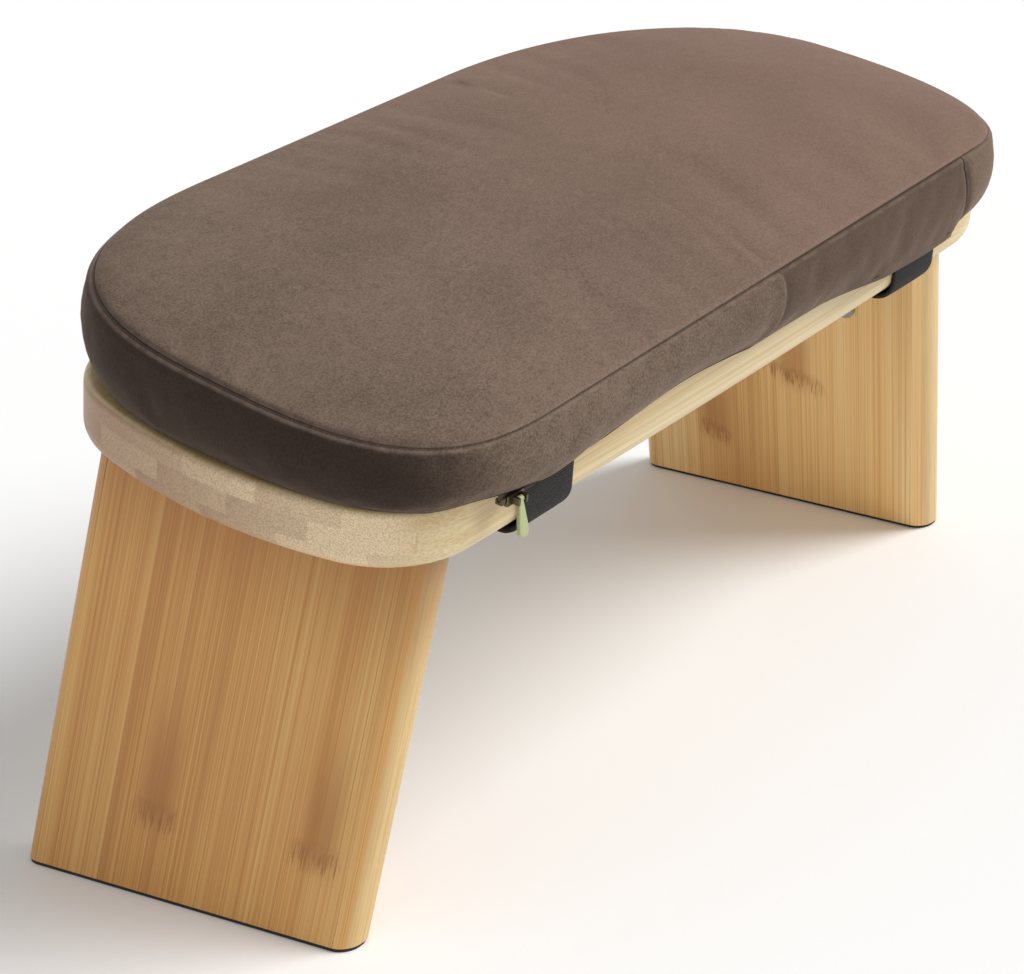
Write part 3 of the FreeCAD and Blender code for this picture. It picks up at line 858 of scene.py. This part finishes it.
def top_seam_distance(column, share):
    """Millimetres from the top panel's seam."""
    return (1 - share) * 100


def band_seam_distance(column, share):
    """Millimetres from the nearest seam of the side band."""
    x, y = COLUMNS[column]
    beside = min(abs(x - LAP_X), abs(x - END_SEAM_X)) if y < -60 else 99
    foot = 1.9 + share * SEAM_HEIGHT / 3
    return min((1 - share) * SEAM_HEIGHT, beside, foot)


def over_lap(column, share):
    """A point of the long band, whose end lies over the short one."""
    return band_point(column, share, LAP_OVER)


def under_lap(column, share):
    """A point of the short band, whose end is tucked in under the lap."""
    return band_point(column, share, -LAP_UNDER)


def make_panel(name, columns, rows, place, distance, material, node, pressure, spare, cap):
    """One panel of the cover: its sheet, its simulation and its cloth thickness."""
    panel = sheet_from_grid(name, columns, rows, place, distance)
    make_outward(panel, CUSHION_MIDDLE)
    puff(panel, pressure, spare, cap)
    add_thickness(panel, CLOTH)
    finish_piece(panel, "seat", "velvet", material, node)


make_panel("cushion_top", ROUND, TOP_ROWS, top_point, top_seam_distance,
           top_velvet, "cushion_top_panel", 2.0, 0.003, 4.0)
make_panel("cushion_band_long", long_columns, BAND_ROWS, over_lap, band_seam_distance,
           shaded_band_velvet, "cushion_long_band", 1.5, 0.004, 2.0)
make_panel("cushion_band_short", short_columns, BAND_ROWS, under_lap, band_seam_distance,
           lap_velvet, "cushion_short_band", 1.5, 0.004, 2.0)

# %% [markdown]
# The base is flat where it lies on the board and follows the band's wavy edge where
# it hangs over the front. The foam inside keeps a small gap to the cover all round.

# %% Base panel and foam
BASE_ROWS = (1.0, 0.985, 0.97, 0.95, 0.92, 0.9, 0.86, 0.75, 0.6, 0.4, 0.2, 0.0)
BASE_THICKNESS = 1.2
ZIP_RECESS = 3.5
FOAM_GAP = 2.6


def base_point(column, share):
    """A point of the base panel's underside; share is 1 at the band and 0 along the middle."""
    foot_x, foot_y, level = band_point(column, 0.0)
    seam_x, seam_y = COLUMNS[column]
    x, y = toward_middle(column, share)
    flat = BOARD_TOP + 0.2
    outer = min(max((share - 0.9) / 0.05, 0), 1)
    recess = ZIP_RECESS * min(1, (1 - share) / 0.015) if foot_y < -60 else 0
    level = flat + (max(level + recess, flat) - flat) * outer
    return x + (foot_x - seam_x) * share, y + (foot_y - seam_y) * share, level


def foam_point(column, row):
    """A point of the foam: rows 0 to 1 climb its side and rows 1 to 2 close its top."""
    nx, ny = OUTWARD[column]
    if row <= 1:
        x, y, level = band_point(column, 0.12 + 0.8 * row)
        return x - nx * FOAM_GAP, y - ny * FOAM_GAP, max(level, BOARD_TOP + BASE_THICKNESS + 1)
    x, y, level = top_point(column, (2 - row) * 0.97)
    inward = FOAM_GAP * (2 - row)
    return x - nx * inward, y - ny * inward, level - FOAM_GAP


def foam_closed(column, row):
    """The foam's skin from the middle of its base, up its side, to the middle of its top."""
    if row >= 0:
        return foam_point(column, row)
    level = foam_point(column, 0)[2]
    return *toward_middle(column, (1 + row) * 0.95), level


FOAM_ROWS = (-1.0, -0.5, -0.1, 0.0, 0.2, 0.5, 0.8, 1.0, 1.05, 1.15, 1.35, 1.6, 1.8, 2.0)
base = sheet_from_grid("cushion_base", ROUND, BASE_ROWS, base_point)
make_outward(base, CUSHION_MIDDLE)
add_thickness(base, BASE_THICKNESS)
finish_piece(base, "seat", "grip_fabric", grip_cloth_and_shadow, "cushion_base_panel")
foam = sheet_from_grid("cushion_foam_core", ROUND[:-1:4] + [0], FOAM_ROWS, foam_closed)
make_outward(foam, CUSHION_MIDDLE)
finish_piece(foam, "seat", "foam", foam_cells, "cushion_foam")

# %% [markdown]
# Two flat elastic straps hold the cushion. Each runs from the cushion's base, down
# the front of the board, under it and up the back, with fine ribs across its width.

# %% Elastic straps
STRAP_CENTRE = 133.0
STRAP_WIDTH = 32.0
STRAP_THICKNESS = 1.4
STRAP_GAP = 0.4
LEAF = 2.0
BOARD_ROUND = 8.5
HALF_BOARD = 89.2
RIB_PITCH = 1.25
RIB_HEIGHT = 0.22


def strap_route():
    """The strap's middle line in the seat's y and z, with the way out from the board."""
    lift = STRAP_GAP + STRAP_THICKNESS / 2
    side = HALF_BOARD + lift
    low = -LEAF - lift
    radius = BOARD_ROUND + lift
    points = []
    for z in np.arange(BOARD_TOP - 0.5, low + radius, -RIB_PITCH / 4):
        points.append((-side, z, -1, 0))
    for turn in np.arange(0, math.pi / 2, RIB_PITCH / 4 / radius):
        points.append((-side + radius - radius * math.cos(turn), low + radius - radius * math.sin(turn),
                       -math.cos(turn), -math.sin(turn)))
    for y in np.arange(-side + radius, 0, RIB_PITCH / 4):
        points.append((y, low, 0, -1))
    back = [(-y, z, -ny, nz) for y, z, ny, nz in reversed(points)]
    return points + back


def strap_sheet(name, centre, route):
    """The strap's outer face; each rib is a low ridge across the width."""
    edges = (-1.0, -0.93, -0.5, 0.0, 0.5, 0.93, 1.0)

    def place(edge, step):
        y, z, ny, nz = route[step]
        rib = RIB_HEIGHT * (0, 1, 1, 0)[step % 4] * (1 if abs(edge) < 0.95 else 0.3)
        rise = STRAP_THICKNESS / 2 + rib - 0.25 * abs(edge) ** 8
        return centre + edge * STRAP_WIDTH / 2, y + ny * rise, z + nz * rise

    return sheet_from_grid(name, edges, range(len(route)), place)


route = strap_route()
for side, centre in (("left", -STRAP_CENTRE), ("right", STRAP_CENTRE)):
    strap = strap_sheet(side + "_strap", centre, route)
    make_outward(strap, SEAT @ Vector((centre, 0, 12)))
    add_thickness(strap, STRAP_THICKNESS)
    finish_piece(strap, "seat", "elastic", elastic_cloth, side + "_elastic_strap")

# %% [markdown]
# The zipper hangs under the front edge of the base: a narrow tape, and a coil whose
# turns are small rings. It runs in a recess behind the band's lower edge and comes
# down into the open only where its ends are. A crimped stop closes each end.

# %% Zipper
ZIP_START = -170.5
ZIP_END = 132.0
ZIP_Y = -95.0
ZIP_Z = 23.7
LINK_PITCH = 1.3
LINK_RADIUS = 1.05
WIRE = 0.32
HALF_TAPE = 0.4
STOP_LENGTH = 2.5


def ease(value, low, high):
    """0 below low, 1 above high, smooth between."""
    share = min(max((value - low) / (high - low), 0), 1)
    return share * share * (3 - 2 * share)


def zip_level(x):
    """The height of the coil's middle along the zipper."""
    tucked = ease(x, -152, -141) * (1 - ease(x, 104, 115))
    return ZIP_Z + (BOARD_TOP + foot_lift(x, -FRONT) + 1.5 - ZIP_Z) * tucked


def new_piece(name, bm):
    """A smooth piece from a bmesh that was made in the seat's frame."""
    bmesh.ops.transform(bm, matrix=SEAT, verts=bm.verts)
    bmesh.ops.recalc_face_normals(bm, faces=bm.faces)
    mesh = bpy.data.meshes.new(name)
    bm.to_mesh(mesh)
    bm.free()
    piece = bpy.data.objects.new(name, mesh)
    bpy.context.scene.collection.objects.link(piece)
    return piece


def add_block(bm, low, high, round_off=0.0):
    """A block between two corners, with soft edges."""
    size = Vector(high) - Vector(low)
    middle = (Vector(high) + Vector(low)) / 2
    place = Matrix.Translation(middle) @ Matrix.Diagonal((*size, 1))
    block = bmesh.ops.create_cube(bm, size=1, matrix=place)
    if round_off:
        edges = list({edge for vert in block["verts"] for edge in vert.link_edges})
        bmesh.ops.bevel(bm, geom=edges, offset=round_off, affect="EDGES", segments=2, profile=0.5,
                        material=-1)


def add_link(bm, x):
    """One turn of the coil: a thin square-section ring that leans a little."""
    level = zip_level(x)
    place = Matrix.Translation((x, ZIP_Y, level + LINK_RADIUS)) @ Matrix.Rotation(math.pi / 2, 4, "X")
    ring = bmesh.ops.create_circle(bm, segments=4, radius=WIRE, matrix=place)
    edges = list({edge for vert in ring["verts"] for edge in vert.link_edges})
    bmesh.ops.spin(bm, geom=edges, cent=(x, ZIP_Y, level), axis=(1, 0.12, 0), angle=2 * math.pi, steps=8,
                   use_merge=True)


def add_tape(bm, half):
    """The tape: a thin closed ribbon whose lower edge carries the coil."""
    stations = np.append(np.arange(ZIP_START, ZIP_END, 4.0), ZIP_END)
    ends = None
    for x in stations:
        low = zip_level(x)
        high = BOARD_TOP + max(foot_lift(x, -FRONT), 0) + 4.0
        outline = ((-half, low), (half, low), (half, high), (-half, high))
        corners = [bm.verts.new((x, ZIP_Y + y, z)) for y, z in outline]
        if ends is None:
            bm.faces.new(corners)
        else:
            for k in range(4):
                bm.faces.new((ends[k], ends[k - 1], corners[k - 1], corners[k]))
        ends = corners
    bm.faces.new(ends)


bm = bmesh.new()
for x in np.arange(ZIP_START + 3, ZIP_END - 3, LINK_PITCH):
    add_link(bm, x)
add_tape(bm, HALF_TAPE)
for x in (ZIP_START, ZIP_END - STOP_LENGTH):
    add_block(bm, (x, ZIP_Y - 1.6, ZIP_Z - 1.2), (x + STOP_LENGTH, ZIP_Y + 1.6, ZIP_Z + 1.2), 0.4)
zipper = new_piece("zipper", bm)
zipper.data.shade_smooth()
zipper.data.set_sharp_from_angle(angle=math.radians(50))
finish_piece(zipper, "seat", "zipper", zipper_cloth_and_shadow, "zipper_tape")

# %% [markdown]
# A white floor, an even white sky and one broad light from the front right. The
# light's strength brings the open floor just to white, so it needs no edge, and
# it keeps the soft shadow under the bench.

# %% Stage and light
FILL = 0.46
KEY_ON_FLOOR = 0.54
KEY_WIDTH = 35
KEY_FROM = Vector((0.42, -0.62, 0.66)).normalized()


def make_floor():
    """A white floor."""
    bm = bmesh.new()
    bmesh.ops.create_grid(bm, x_segments=1, y_segments=1, size=30)
    mesh = bpy.data.meshes.new("floor")
    bm.to_mesh(mesh)
    bm.free()
    floor = bpy.data.objects.new("floor", mesh)
    bpy.context.scene.collection.objects.link(floor)
    material, tree = new_material("floor_white")
    shader = add_node(tree, "ShaderNodeBsdfDiffuse", {"Color": paint("#FFFFFF")})
    finish_material(tree, shader)
    mesh.materials.append(material)


def make_world(fill):
    """White to the camera and in reflections, and a plain even fill elsewhere."""
    world = bpy.data.worlds.new("studio")
    bpy.context.scene.world = world
    world.use_nodes = True
    tree = world.node_tree
    tree.nodes.clear()
    rays = add_node(tree, "ShaderNodeLightPath")
    seen = math_node(tree, "MAXIMUM", rays.outputs["Is Camera Ray"], rays.outputs["Is Glossy Ray"])
    seen = math_node(tree, "MAXIMUM", seen, rays.outputs["Is Transmission Ray"])
    level = math_node(tree, "MULTIPLY_ADD", seen, 1.0 - fill, fill)
    sky = add_node(tree, "ShaderNodeBackground", {"Color": (1, 1, 1, 1), "Strength": level})
    add_node(tree, "ShaderNodeOutputWorld", {"Surface": sky.outputs[0]})


def make_sun(name, toward, floor_share, soft_degrees):
    """A broad distant light that adds a share of white to a level floor."""
    data = bpy.data.lights.new(name, "SUN")
    data.energy = floor_share * math.pi / toward.z
    data.angle = math.radians(soft_degrees)
    lamp = bpy.data.objects.new(name, data)
    lamp.rotation_euler = (-toward).to_track_quat("-Z", "Y").to_euler()
    bpy.context.scene.collection.objects.link(lamp)


make_floor()
make_world(FILL)
make_sun("key", KEY_FROM, KEY_ON_FLOOR, KEY_WIDTH)
bpy.context.scene.view_settings.view_transform = "Standard"
print("floor level", FILL + KEY_ON_FLOOR)
